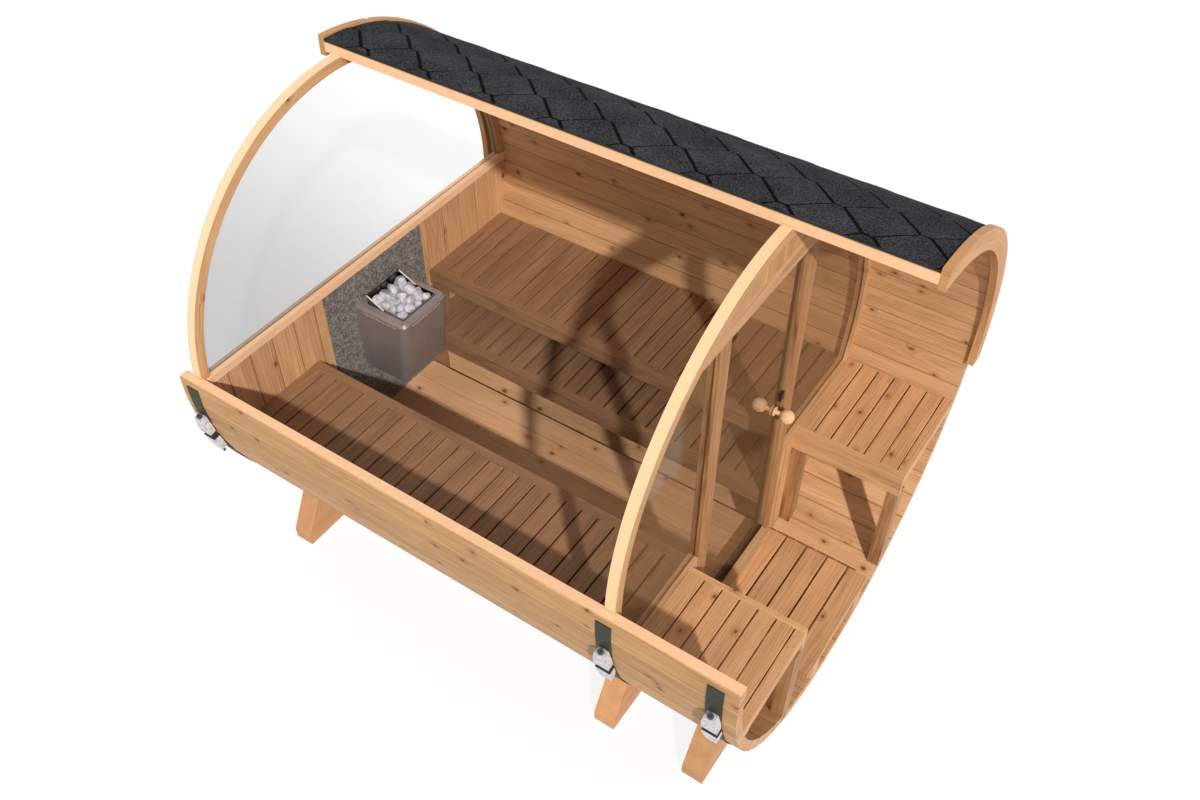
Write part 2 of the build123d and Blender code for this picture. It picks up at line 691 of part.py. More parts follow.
guard_x = (tray_x[0] - guard_sheet, tray_x[1] + guard_sheet)
guard_y = (tray_y[0] - guard_sheet, tray_y[1] + guard_sheet)
slope_end = guard_x[0] + (guard_x[1] - guard_x[0]) * guard_slope_share
low_edge = case_top + guard_front_rise
guard_side = [(guard_x[0], case_top), (guard_x[1], case_top), (guard_x[1], low_edge),
              (slope_end, low_edge), (guard_x[0], case_top + guard_back_rise)]
guard_outline = Plane.XZ.offset(-guard_y[1]) * Polygon(*guard_side, align=None)
guard_form = extrude(guard_outline, amount=guard_y[1] - guard_y[0])
save("heater_guard", [guard_form - block(tray_x, tray_y, (case_top - overrun, case_top + overrun))])
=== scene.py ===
import random
from math import cos, pi, radians, sin

import bpy
from mathutils import Matrix, Vector


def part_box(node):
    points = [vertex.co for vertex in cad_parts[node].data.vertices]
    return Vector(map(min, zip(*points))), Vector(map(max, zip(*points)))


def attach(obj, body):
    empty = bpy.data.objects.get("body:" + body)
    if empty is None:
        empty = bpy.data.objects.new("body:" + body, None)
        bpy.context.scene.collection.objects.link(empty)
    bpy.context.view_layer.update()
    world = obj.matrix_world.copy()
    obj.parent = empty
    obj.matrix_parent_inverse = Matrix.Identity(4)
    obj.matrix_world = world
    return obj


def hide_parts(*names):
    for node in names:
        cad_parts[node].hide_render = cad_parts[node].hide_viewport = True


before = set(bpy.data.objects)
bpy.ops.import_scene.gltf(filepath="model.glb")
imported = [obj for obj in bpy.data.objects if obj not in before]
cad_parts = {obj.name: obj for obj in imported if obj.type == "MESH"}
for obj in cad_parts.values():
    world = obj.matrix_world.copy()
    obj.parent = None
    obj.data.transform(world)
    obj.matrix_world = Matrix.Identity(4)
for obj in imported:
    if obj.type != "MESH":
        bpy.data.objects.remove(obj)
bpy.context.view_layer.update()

# The barrel's axis runs along X through this point of the frame. Turns about it start at the near side and go up.
cradle_low, cradle_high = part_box("cradle_front")
AXIS_Y = (cradle_low[1] + cradle_high[1]) / 2
AXIS_Z = 1.104
HALF_LENGTH = 1.234
STAVES_IN_RING = 57
STAVES_LEFT_OUT = 14
STAVE_TURN = 2 * pi / STAVES_IN_RING
FIRST_SEAM = radians(3.6)
OPEN_TURN = FIRST_SEAM + STAVES_LEFT_OUT * STAVE_TURN
ROOF_FOOT = radians(185.2)
CLAMP_TURN = radians(347.2)


# Colours and the words that finishes are made from.

def shade(red, green, blue):
    """A colour given in 0-255 steps, as the linear colour the shader wants."""
    def linear(step):
        part = step / 255
        return part / 12.92 if part <= 0.04045 else ((part + 0.055) / 1.055) ** 2.4
    return (linear(red), linear(green), linear(blue), 1.0)


def dim(colour, *shares):
    """A darker colour: one share for all three parts, or a share for each."""
    shares = shares * 3 if len(shares) == 1 else shares
    return [part * share for part, share in zip(colour, shares)] + [1.0]


WHITE = (1.0, 1.0, 1.0, 1.0)
SPRUCE = shade(216, 169, 122)
SPRUCE_DEEP = shade(158, 110, 71)
PORCH_SPRUCE = shade(215, 165, 119)
SUN_CUT = shade(255, 211, 170)
CREAM_CUT = shade(250, 207, 160)
BENCH = shade(157, 117, 85)
BENCH_DEEP = shade(99, 69, 47)


def feed(tree, socket, value):
    """Links a socket to another node, or sets its value."""
    if isinstance(value, bpy.types.NodeSocket):
        tree.links.new(value, socket)
    else:
        socket.default_value = value


def add_node(tree, kind, feeds=None, **settings):
    """A new node with its settings made and its sockets fed."""
    made = tree.nodes.new(kind)
    for key, value in settings.items():
        setattr(made, key, value)
    for place, value in (feeds or {}).items():
        feed(tree, made.inputs[place], value)
    return made


class Finish:
    """One procedural material and short words for the nodes it is made from."""

    def __init__(self, name):
        self.material = bpy.data.materials.new(name)
        self.material.use_nodes = True
        self.tree = self.material.node_tree
        self.surface = self.tree.nodes["Principled BSDF"]

    def add(self, kind, feeds=None, **settings):
        return add_node(self.tree, kind, feeds, **settings)

    def set(self, **values):
        for key, value in values.items():
            feed(self.tree, self.surface.inputs[key.replace("_", " ")], value)

    def painted(self):
        """What feeds the base colour so far."""
        return self.surface.inputs["Base Color"].links[0].from_socket

    def math(self, how, first, second=0.0, third=0.0):
        return self.add("ShaderNodeMath", {0: first, 1: second, 2: third}, operation=how).outputs[0]

    def plus(self, first, second):
        return self.math("ADD", first, second)

    def minus(self, first, second):
        return self.math("SUBTRACT", first, second)

    def times(self, first, second):
        return self.math("MULTIPLY", first, second)

    def size_of(self, value):
        return self.math("ABSOLUTE", value)

    def over(self, value, limit):
        return self.math("GREATER_THAN", value, limit)

    def under(self, value, limit):
        return self.math("LESS_THAN", value, limit)

    def near(self, value, middle, reach):
        return self.math("COMPARE", value, middle, reach)

    def ease(self, value, low, high, start=0.0, end=1.0):
        """Runs smoothly from start to end as value goes from low to high."""
        feeds = {0: value, 1: low, 2: high, 3: start, 4: end}
        return self.add("ShaderNodeMapRange", feeds, interpolation_type="SMOOTHSTEP").outputs[0]

    def ramp(self, value, low, high, start, end):
        """Runs straight from start to end as value goes from low to high."""
        return self.add("ShaderNodeMapRange", {0: value, 1: low, 2: high, 3: start, 4: end}).outputs[0]

    def blend(self, share, first, second, how="MIX"):
        feeds = {0: share, 6: first, 7: second}
        return self.add("ShaderNodeMix", feeds, data_type="RGBA", blend_type=how).outputs[2]

    def shaded(self, colour, level):
        """A colour made darker or lighter by a level from another node."""
        return self.blend(1.0, colour, self.point(level, level, level), "MULTIPLY")

    def place(self):
        spot = self.add("ShaderNodeTexCoord").outputs["Object"]
        return self.add("ShaderNodeSeparateXYZ", {0: spot}).outputs

    def point(self, x, y, z):
        return self.add("ShaderNodeCombineXYZ", {0: x, 1: y, 2: z}).outputs[0]

    def stretched(self, parts, scales):
        return self.point(*(self.times(part, scale) for part, scale in zip(parts, scales)))

    def noise(self, point, scale=1.0, detail=2.0, roughness=0.5):
        feeds = {"Vector": point, "Scale": scale, "Detail": detail, "Roughness": roughness}
        return self.add("ShaderNodeTexNoise", feeds).outputs["Fac"]

    def steps(self, value, *stops):
        """A row of colours along a value, each with its spot."""
        made = self.add("ShaderNodeValToRGB", {0: value})
        elements = made.color_ramp.elements
        while len(elements) < len(stops):
            elements.new(0.5)
        for element, (spot, colour) in zip(elements, stops):
            element.position = spot
            element.color = colour
        return made.outputs[0]

    def relief(self, height, strength, depth):
        feeds = {"Height": height, "Strength": strength, "Distance": depth}
        self.set(Normal=self.add("ShaderNodeBump", feeds).outputs[0])

    def wear(self, *nodes):
        """Puts this finish on CAD nodes."""
        for name in nodes:
            dress(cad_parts[name], self)


def dress(piece, finish):
    """Gives a piece one finish in place of what it had."""
    slots = piece.data.materials
    slots.clear()
    slots.append(finish.material)


def around_axis(f):
    """Turn about the barrel's axis, radius and lengthwise place; the turn's own seam lies in the open quarter."""
    x, y, z = f.place()
    side = f.minus(y, AXIS_Y)
    rise = f.minus(z, AXIS_Z)
    back = f.times(f.plus(side, rise), -1.0)
    turn = f.plus(f.math("ARCTAN2", back, f.minus(side, rise)), radians(225))
    radius = f.math("SQRT", f.plus(f.times(side, side), f.times(rise, rise)))
    return x, turn, radius, side, rise


def lean(f, side, rise, radius):
    """How far a face looks outwards from the barrel's axis, and how far it looks along it."""
    normal = f.add("ShaderNodeNewGeometry").outputs["True Normal"]
    nx, ny, nz = f.add("ShaderNodeSeparateXYZ", {0: normal}).outputs
    outward = f.math("DIVIDE", f.plus(f.times(ny, side), f.times(nz, rise)), radius)
    return outward, f.size_of(nx)


# How far a face leans before it counts as looking outwards, squarely outwards, or along the axis.
LOOKS_OUT = 0.3
LOOKS_SQUARELY_OUT = 0.6
LOOKS_ALONG = 0.5

# Timber. Lengths are in metres, counts are to the metre.
KNOT_CELLS = 7.4
KNOT_CELLS_ALONG = KNOT_CELLS * 0.7
KNOT_SMALLEST = 0.0040
KNOT_GROWTH = 0.0070
HALO_EDGE = 0.034
HALO_HEART = 0.003
RINGS = 120.0
RING_WANDER = 0.045
RING_BULGE = 0.010
PITH_SPREAD = 0.16
PITH_NEAREST = 0.012
PITH_DEPTH = 0.05
STREAKS = (5.0, 230.0, 230.0)
LATEWOOD = ((0.0, 0.55), (0.14, 0.95), (0.30, 0.42), (0.75, 0.05), (1.0, 0.5))
GRAIN_DEPTH = 0.0012


def timber(f, along, across, depth, start, pitch, pale, deep, knots=0.5, seam=0.0015, seed=0.0, contrast=1.0,
           vary=0.16, joint=None):
    """Softwood planks: growth rings, streaks, knots, a tone for each plank and a dark joint between them.

    Start and pitch set the row of planks across the grain; knots is the share of places that have one."""
    plank = f.math("FLOOR", f.math("DIVIDE", f.minus(across, start), pitch))
    luck = f.add("ShaderNodeTexWhiteNoise", {"W": f.plus(plank, seed)}, noise_dimensions="1D").outputs["Color"]
    luck_a, luck_b, luck_c = f.add("ShaderNodeSeparateXYZ", {0: luck}).outputs
    middle = f.plus(f.times(f.plus(plank, 0.5), pitch), start)
    local = f.minus(across, middle)

    knot_point = f.point(f.plus(f.times(along, KNOT_CELLS_ALONG), f.times(luck_a, 61.0)),
                         f.plus(f.times(local, KNOT_CELLS), f.times(luck_b, 43.0)), 0.0)
    cells = f.add("ShaderNodeTexVoronoi", {"Vector": knot_point, "Scale": 1.0}, voronoi_dimensions="2D").outputs
    reach = f.math("DIVIDE", cells["Distance"], KNOT_CELLS)
    choice, size_luck, _ = f.add("ShaderNodeSeparateXYZ", {0: cells["Color"]}).outputs
    present = f.under(choice, knots)
    knot_size = f.plus(f.times(f.times(size_luck, size_luck), KNOT_GROWTH), KNOT_SMALLEST)
    core = f.times(f.ease(reach, f.times(knot_size, 1.25), f.times(knot_size, 0.60)), present)
    halo = f.times(f.ease(reach, HALO_EDGE, HALO_HEART), present)

    drift = f.noise(f.point(f.plus(f.times(along, 1.5), f.times(luck_c, 80.0)), f.times(local, 9.0),
                            f.times(depth, 9.0)))
    off_centre = f.plus(local, f.times(f.minus(luck_a, 0.5), PITH_SPREAD))
    below = f.plus(f.times(luck_b, PITH_DEPTH), PITH_NEAREST)
    rings = f.math("SQRT", f.plus(f.times(off_centre, off_centre), f.times(below, below)))
    rings = f.plus(f.plus(rings, f.times(drift, RING_WANDER)), f.times(halo, RING_BULGE))
    ring = f.math("FRACT", f.times(rings, RINGS))
    latewood = f.steps(ring, *((spot, (level, level, level, 1.0)) for spot, level in LATEWOOD))
    streak = f.noise(f.stretched((along, across, depth), STREAKS), detail=3.0)
    cloud = f.noise(f.point(f.plus(f.times(along, 2.2), f.times(luck_b, 30.0)), f.times(across, 16.0),
                            f.times(depth, 16.0)), detail=1.0)

    figure = f.plus(f.times(latewood, 0.42 * contrast), f.times(f.minus(streak, 0.5), 1.25 * contrast))
    figure = f.plus(figure, f.times(f.minus(cloud, 0.38), 0.85))
    figure = f.math("MINIMUM", f.math("MAXIMUM", figure, 0.0), 1.0)
    tone = f.plus(f.times(luck_c, vary), 1.0 - 0.5 * vary)
    colour = f.shaded(f.blend(figure, pale, deep), tone)
    colour = f.blend(f.times(f.times(halo, halo), 0.55), colour, dim(deep, 0.92, 0.72, 0.55))
    colour = f.blend(f.times(core, 0.85), colour, dim(deep, 0.42, 0.34, 0.30))
    edge = f.ease(f.size_of(local), pitch / 2 - 2 * seam, pitch / 2 - 0.4 * seam)
    colour = f.blend(f.times(edge, 0.62), colour, dim(deep, 0.30) if joint is None else joint)
    height = f.minus(f.minus(f.plus(f.times(latewood, 0.4), streak), f.times(edge, 2.0)), f.times(core, 0.4))
    f.relief(height, 0.22, GRAIN_DEPTH)
    f.set(Roughness=f.plus(f.times(streak, 0.22), 0.42), Specular_IOR_Level=0.2)
    return colour


def fine_saw(f, parts, pale, deep):
    """A freshly sawn face: pale, with faint marks."""
    return f.blend(f.noise(f.stretched(parts, (60.0, 60.0, 60.0)), detail=3.0), pale, deep)


def staves():
    """Shell staves: planed boards, with the sawn faces along the opening left pale, a painted highlight on the
    outside joints and painted shade inside the shell beyond the back wall.
    """
    painted_shade_length = 0.046
    f = Finish("stave_spruce")
    x, turn, radius, side, rise = around_axis(f)
    outward, endways = lean(f, side, rise, radius)
    outside = f.over(outward, LOOKS_OUT)
    # Outside, the joint line is a painted highlight on the rounded stave edges; inside it is a dark joint.
    joint_and_edge_highlight = f.blend(outside, shade(116, 77, 48), shade(236, 196, 146))
    planks = timber(f, x, turn, radius, FIRST_SEAM, STAVE_TURN, SPRUCE, SPRUCE_DEEP, knots=0.58, seed=3.0,
                    seam=0.0022, joint=joint_and_edge_highlight)
    planks = f.blend(outside, planks, f.blend(1.0, planks, (0.88, 0.87, 0.80, 1.0), "MULTIPLY"))
    # Painted shade: the inside of the shell beyond the back wall is darkened as if in shade.
    painted_shade_behind_wall = f.times(f.under(x, painted_shade_length - HALF_LENGTH), f.under(outward, -LOOKS_OUT))
    planks = f.blend(f.times(painted_shade_behind_wall, 0.65), planks, shade(44, 35, 28))
    flank = f.times(f.under(f.size_of(outward), LOOKS_OUT), f.under(endways, LOOKS_ALONG))
    f.set(Base_Color=f.blend(flank, planks, fine_saw(f, (x, radius, turn), SUN_CUT, shade(246, 191, 145))))
    return f


# Start and pitch that lay one wide plank over a whole piece: by radius for arched boards, else along an axis.
ARCHED_PLANK = (0.70, 0.50)
ONE_PLANK = (0.0, 0.9)
CRADLE_PLANK = (0.0, 0.4)


def arched(name, pale, cut, seed, hollow_shade=0.0):
    """Arched boards: grain follows the bend, the outer edge is sawn pale, the hollow edge can take painted shade."""
    f = Finish(name)
    x, turn, radius, side, rise = around_axis(f)
    bent = timber(f, turn, radius, x, *ARCHED_PLANK, pale, SPRUCE_DEEP, knots=0.25, seam=0.0, seed=seed)
    outward, _ = lean(f, side, rise, radius)
    rim_face = f.over(outward, LOOKS_SQUARELY_OUT)
    sawn = fine_saw(f, (x, radius, turn), cut, dim(cut, 0.93))
    # Painted shade on the faces that look in towards the axis.
    shaded_hollow_face = f.times(f.under(outward, -LOOKS_SQUARELY_OUT), hollow_shade)
    f.set(Base_Color=f.blend(shaded_hollow_face, f.blend(rim_face, bent, sawn), shade(48, 38, 30)))
    return f


def straight(name, run, start, pitch, pale=SPRUCE, deep=SPRUCE_DEEP, **more):
    """Straight boards with the grain along one axis and the next axis across them."""
    f = Finish(name)
    x, y, z = f.place()
    along, across, depth = {"X": (x, y, z), "Y": (y, x, z), "Z": (z, y, x)}[run]
    f.set(Base_Color=timber(f, along, across, depth, start, pitch, pale, deep, **more))
    return f


def spread_of(node, axis, count):
    """Start and pitch of a row of like boards in a CAD node."""
    low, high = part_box(node)
    return low[axis], (high[axis] - low[axis]) / count


# Boards to a row. The porch seats' rows also take in their end boards, so that count isn't whole.
BACK_BOARD_COUNT = 16
FRONT_BOARD_PITCH = 0.118
FLOOR_BOARD_COUNT = 5
PORCH_SLAT_COUNT = 5
PORCH_SEAT_COUNT = 6.47
ROOM_SEAT_COUNT = 25

staves().wear("staves_crown", "staves_shoulder", "staves_far_side", "staves_bottom_far", "staves_bottom_near",
              "staves_near_side")
arched("front_arch_spruce", SPRUCE, CREAM_CUT, seed=11.0).wear("front_rim")
arched("back_arch_spruce", SPRUCE, SUN_CUT, seed=17.0, hollow_shade=0.6).wear("back_rim")
arched("fascia_spruce", shade(208, 156, 106), shade(200, 148, 98), seed=23.0).wear("roof_fascias")

back_boards = spread_of("back_boards", 1, BACK_BOARD_COUNT)
straight("back_board_spruce", "Z", *back_boards, seam=0.002, knots=0.35, seed=31.0).wear("back_boards")
straight("front_board_spruce", "Z", back_boards[0], FRONT_BOARD_PITCH, seam=0.002, knots=0.3,
         seed=37.0).wear("front_low_boards")
straight("header_spruce", "Z", *ONE_PLANK, pale=shade(199, 151, 102), deep=shade(138, 91, 55), seam=0.0, knots=0.0,
         contrast=1.4, seed=39.0).wear("front_header")
straight("post_spruce", "Z", *ONE_PLANK, pale=shade(187, 138, 93), deep=shade(124, 81, 48), seam=0.0, knots=0.0,
         contrast=1.5, seed=41.0).wear("front_posts", "porch_bench_legs")
straight("cross_spruce", "Y", *ONE_PLANK, seam=0.0, knots=0.2, seed=43.0).wear("front_lintel", "front_rails")
straight("sill_cut_spruce", "Y", *ONE_PLANK, pale=SUN_CUT, deep=shade(226, 164, 112), seam=0.0, knots=0.0,
         contrast=0.4, seed=44.0).wear("back_sill")
straight("floor_spruce", "X", *spread_of("floor_boards", 1, FLOOR_BOARD_COUNT), pale=shade(230, 181, 136),
         deep=shade(184, 131, 88), seam=0.0012, knots=0.5, contrast=0.75, seed=47.0).wear("floor_boards")
straight("porch_floor_spruce", "Y", *spread_of("porch_slats", 0, PORCH_SLAT_COUNT), pale=PORCH_SPRUCE, knots=0.6,
         seam=0.0, seed=53.0).wear("porch_slats")
straight("porch_seat_spruce", "Y", *spread_of("porch_bench_slats", 0, PORCH_SEAT_COUNT), pale=PORCH_SPRUCE,
         knots=0.6, seam=0.0, seed=59.0).wear("porch_bench_slats")
straight("rail_spruce", "X", *ONE_PLANK, seam=0.0, knots=0.3, seed=61.0).wear("porch_bench_rails", "floor_joists")
straight("bench_slat_wood", "Y", *spread_of("near_bench_slats", 0, ROOM_SEAT_COUNT), pale=BENCH, deep=BENCH_DEEP,
         knots=0.0, seam=0.0013, seed=67.0, vary=0.12).wear("near_bench_slats", "upper_bench_slats", "step_slats")
straight("bench_rail_wood", "X", *ONE_PLANK, pale=BENCH, deep=BENCH_DEEP, knots=0.0, seam=0.0,
         seed=71.0).wear("room_bench_rails", "room_bench_legs")
straight("cradle_spruce", "Y", *CRADLE_PLANK, pale=shade(207, 155, 108), deep=shade(166, 115, 72), seam=0.0,
         knots=0.1, contrast=0.7, seed=73.0).wear("cradle_back", "cradle_middle", "cradle_front")
straight("knob_spruce", "X", *ONE_PLANK, pale=shade(250, 204, 158), deep=shade(204, 152, 106), seam=0.0,
         knots=0.0, seed=79.0).wear("door_knobs")


# Glass, metal, stone and felt.

def glass(name, tint, cover, rough=0.02):
    """Glass that lets the light through and tints what lies behind it."""
    f = Finish(name)
    smear = f.noise(f.stretched(f.place(), (3.0, 3.0, 3.0)))
    f.set(Base_Color=f.blend(smear, tint, dim(tint, 0.9)), Roughness=f.plus(f.times(smear, 0.03), rough),
          Alpha=cover, IOR=1.45)
    return f


def back_glass():
    """Clear glass with a painted reflection: a grey sheen that grows down and towards the near side."""
    sheen_start, sheen_end, sheen_cover = 1.15, -1.0, 0.31
    side_share = 1.45
    f = glass("clear_glass", shade(150, 152, 156), 0.0)
    _, y, z = f.place()
    slope = f.plus(f.times(f.minus(y, AXIS_Y), side_share), f.minus(z, AXIS_Z))
    f.set(Alpha=f.ease(slope, sheen_start, sheen_end, 0.0, sheen_cover))
    return f


def metal(name, colour, rough, streaks, metallic=1.0, gloss=0.5):
    """Brushed or painted metal; streaks are the marks to the metre each way."""
    f = Finish(name)
    brush = f.noise(f.stretched(f.place(), streaks), detail=3.0)
    f.set(Base_Color=f.blend(brush, colour, dim(colour, 0.78)), Metallic=metallic, Specular_IOR_Level=gloss,
          Roughness=f.plus(f.times(f.minus(brush, 0.5), 0.25), rough))
    f.relief(brush, 0.06, 0.0006)
    return f


def clamp_plate():
    """Mottled zinc, with painted shade where the two jaws face each other across the gap."""
    gap_shade_reach = 0.019
    f = metal("zinc_plate", shade(208, 205, 211), 0.45, (90.0, 90.0, 90.0), metallic=0.1)
    x, y, z = f.place()
    slide = f.plus(f.times(f.minus(y, AXIS_Y), sin(CLAMP_TURN)), f.times(f.minus(z, AXIS_Z), cos(CLAMP_TURN)))
    bloom = f.noise(f.point(x, y, z), 85.0, 4.0, 0.7)
    plate = f.steps(bloom, (0.32, shade(140, 137, 140)), (0.44, shade(202, 198, 202)), (0.66, shade(230, 227, 232)))
    # Painted shade of the gap between the jaws.
    f.set(Base_Color=f.blend(f.under(f.size_of(slide), gap_shade_reach), plate, shade(62, 58, 60)))
    return f


stone_low, stone_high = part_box("heater_stones")


def heater_paint():
    """Painted sheet: painted shade darker towards the foot, painted highlights on the lips of the row of vents, and
    black inside the stone tray.
    """
    vent_row, vent_count = 0.176, 13
    vent_step = vent_row / vent_count
    vent_drop, vent_reach = 0.0255, 0.0035
    tray_margin, tray_depth = 0.008, 0.074
    skin, lit_top = 0.002, 0.06
    low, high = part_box("heater_case")
    f = metal("heater_paint", shade(152, 138, 132), 0.40, (14.0, 14.0, 5.0), metallic=0.25)
    x, y, z = f.place()
    off_middle = f.minus(y, (low[1] + high[1]) / 2)
    across = f.size_of(off_middle)
    along = f.minus(x, (low[0] + high[0]) / 2)

    on_side = f.over(across, (high[1] - low[1]) / 2 - skin)
    row = f.plus(f.times(on_side, along), f.times(f.minus(1.0, on_side), off_middle))
    beat = f.math("FRACT", f.math("DIVIDE", f.plus(row, vent_row / 2 + vent_step / 2), vent_step))
    # Painted highlights: pale dashes on the lips below the vents.
    vent_lip_highlight = f.times(f.near(beat, 0.5, 0.24), f.under(f.size_of(row), vent_row / 2 + vent_step / 4))
    vent_lip_highlight = f.times(vent_lip_highlight, f.near(z, high[2] - vent_drop, vent_reach))
    tray_reach = (stone_high[0] - stone_low[0]) / 2 + tray_margin
    tray = f.times(f.under(across, (stone_high[1] - stone_low[1]) / 2 + tray_margin),
                   f.near(x, (stone_low[0] + stone_high[0]) / 2, tray_reach))
    tray = f.times(tray, f.over(z, high[2] - tray_depth))

    # Painted shade: the sheet grows darker towards the foot.
    painted_foot_shade = f.ease(z, low[2], high[2] - lit_top, 0.55, 0.0)
    paint = f.blend(painted_foot_shade, f.painted(), shade(100, 97, 102))
    paint = f.blend(vent_lip_highlight, paint, shade(225, 218, 214))
    f.set(Base_Color=f.blend(tray, paint, shade(26, 25, 25)))
    return f


def guard_sheet():
    """Mirror-bright sheet with a painted highlight, white, along the top edge of its sloping sides."""
    slope_share = 0.45
    front_rise, skin, lip_highlight_height = 0.004, 0.0035, 0.007
    low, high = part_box("heater_guard")
    slope_end = low[0] + (high[0] - low[0]) * slope_share
    f = metal("bright_sheet", shade(150, 146, 146), 0.12, (20.0, 20.0, 120.0))
    x, y, z = f.place()
    level = f.ramp(x, low[0], slope_end, high[2], low[2] + front_rise)
    off_middle = f.size_of(f.minus(y, (low[1] + high[1]) / 2))
    flap = f.times(f.under(x, slope_end), f.over(off_middle, (high[1] - low[1]) / 2 - skin))
    # Painted highlight: the top edge of the sloping sides is made white and less metallic.
    lip_highlight = f.times(flap, f.over(z, f.minus(level, lip_highlight_height)))
    f.set(Base_Color=f.blend(lip_highlight, f.painted(), shade(248, 247, 247)), Metallic=f.minus(1.0, f.times(lip_highlight, 0.85)))
    return f


def heat_shield():
    """Mineral board behind the heater: grey with pale and dark flecks."""
    f = Finish("heat_shield_stone")
    spot = f.point(*f.place())
    fleck = f.add("ShaderNodeTexVoronoi", {"Vector": spot, "Scale": 130.0}).outputs["Distance"]
    patch = f.noise(spot, 60.0, 4.0, 0.7)
    mottle = f.plus(f.times(patch, 0.9), f.times(fleck, 0.45))
    f.set(Base_Color=f.steps(mottle, (0.32, shade(54, 52, 50)), (0.62, shade(102, 97, 93)),
                             (0.9, shade(158, 153, 147))), Roughness=0.85)
    f.relief(mottle, 0.5, 0.002)
    return f


def felt(name, low, high):
    """Bitumen felt with mineral granules."""
    f = Finish(name)
    spot = f.point(*f.place())
    grit = f.ease(f.noise(spot, 165.0, 4.0, 0.85), 0.39, 0.66)
    blotch = f.noise(spot, 7.0)
    f.set(Base_Color=f.blend(f.math("MULTIPLY_ADD", f.minus(blotch, 0.5), 0.9, grit), low, high), Roughness=0.95,
          Specular_IOR_Level=0.08)
    f.relief(grit, 0.6, 0.0016)
    return f


def joint_shadow_felt():
    """The felt below the tabs: painted near black as the shadow in the joints, grey along its trimmed edge."""
    # Painted shadow: the felt seen in the joints is made near black.
    f = felt("roof_felt", shade(4, 4, 4), shade(10, 10, 10))
    _, _, radius, side, rise = around_axis(f)
    outward, _ = lean(f, side, rise, radius)
    trimmed = f.under(f.size_of(outward), LOOKS_ALONG)
    f.set(Base_Color=f.blend(trimmed, shade(8, 8, 8), shade(58, 58, 61)))
    return f


def broken_stone():
    """Pale heater stone with painted shade that grows darker down in the heap."""
    dark_drop, lit_drop = 0.046, 0.012
    f = Finish("heater_stone")
    x, y, z = f.place()
    vein = f.noise(f.point(x, y, z), 38.0, 5.0, 0.65)
    # Painted shade: the stones darken with depth in the heap.
    light = f.ease(z, stone_high[2] - dark_drop, stone_high[2] - lit_drop, 0.16, 1.0)
    tone = f.steps(vein, (0.30, shade(138, 134, 138)), (0.55, shade(196, 192, 198)), (0.75, shade(226, 223, 228)))
    f.set(Base_Color=f.shaded(tone, light), Roughness=0.7)
    f.relief(vein, 0.35, 0.003)
    return f


EVEN_MARKS = (70.0, 70.0, 70.0)
glass("bronze_glass", shade(146, 106, 70), 0.20).wear("door_leaf", "front_side_panes")
back_glass().wear("back_window")
metal("strap_paint", shade(52, 54, 40), 0.55, (60.0, 25.0, 25.0), metallic=0.0, gloss=0.25).wear("straps")
clamp_plate().wear("strap_clamps")
metal("bolt_steel", shade(84, 88, 96), 0.42, EVEN_MARKS, metallic=0.5).wear("strap_bolts")
metal("dark_strip", shade(70, 49, 36), 0.65, EVEN_MARKS, metallic=0.0,
      gloss=0.08).wear("door_threshold", "door_pivots")
metal("catch_black", shade(30, 29, 29), 0.5, (80.0, 80.0, 80.0), metallic=0.0).wear("door_catch")
heater_paint().wear("heater_case")
guard_sheet().wear("heater_guard")
heat_shield().wear("heat_panel")
joint_shadow_felt().wear("roof_covering")
shingle_felt = felt("shingle_felt", shade(28, 28, 30), shade(82, 83, 86))
stone_face = broken_stone()
stone_face.wear("heater_stones")


# Words for modelling the new pieces.

def only(piece):
    """Selects one piece and makes it active."""
    bpy.ops.object.select_all(action="DESELECT")
    piece.select_set(True)
    bpy.context.view_layer.objects.active = piece


def settle(piece):
    """Keeps the place in the mesh, so the object sits at the origin, unturned and unscaled."""
    only(piece)
    bpy.ops.object.transform_apply(location=True, rotation=True, scale=True)


def twin_of(piece):
    twin = piece.copy()
    twin.data = piece.data.copy()
    bpy.context.collection.objects.link(twin)
    return twin


def joined(pieces):
    """Joins the pieces into the first of them."""
    bpy.ops.object.select_all(action="DESELECT")
    for piece in pieces:
        piece.select_set(True)
    bpy.context.view_layer.objects.active = pieces[0]
    bpy.ops.object.join()
    return bpy.context.active_object


def pick(piece, test):
    """Selects, in edit mode, the corners of a piece that pass the test."""
    bpy.ops.object.mode_set(mode="OBJECT")
    for item in list(piece.data.polygons) + list(piece.data.edges):
        item.select = False
    for corner in piece.data.vertices:
        corner.select = test(corner.co)
    bpy.ops.object.mode_set(mode="EDIT")
    bpy.ops.mesh.select_mode(type="VERT")


def slice_at(spot, normal, inner=False, outer=False):
    """Cuts through the whole mesh in edit mode, and can clear one side and close the cut."""
    bpy.ops.mesh.select_all(action="SELECT")
    bpy.ops.mesh.bisect(plane_co=spot, plane_no=normal, clear_inner=inner, clear_outer=outer, use_fill=inner or outer)


def shaped(piece, label, kind, **settings):
    """Gives a piece a modifier and applies it."""
    made = piece.modifiers.new(label, kind)
    for key, value in settings.items():
        setattr(made, key, value)
    only(piece)
    bpy.ops.object.modifier_apply(modifier=label)


# Six-sided shingle tabs: modelled once on the flat, laid in courses, trimmed, then bent round the shell.
TAB_TOP = 0.0370
TAB_RUN = 0.1088
TAB_RISE = 0.1112
TAB_LIFT = 0.0030
TAB_THICK = 0.0030
GAP = 0.0048
SHORT_GAP = 0.0022
STEEP_TRIM = 0.0011
WORN_EDGE = 0.0014
SHEET_RADIUS = 1.0086
FIRST_JOINT = radians(94.1) * SHEET_RADIUS
JOINT_MIDDLE = 0.1067
COURSES = 10
TABS_IN_ROW = 11
TABS_BEFORE_JOINT = 6
END_CLEARANCE = 0.0005
PITCH_X = 2 * (TAB_TOP + TAB_RUN)
PITCH_Z = 2 * TAB_RISE
HEX_SHARE = cos(radians(30))
ABOVE_MIDDLE = 0.01
BEND_CUTS = (-0.75, -0.5, -0.25, 0.25, 0.5, 0.75)


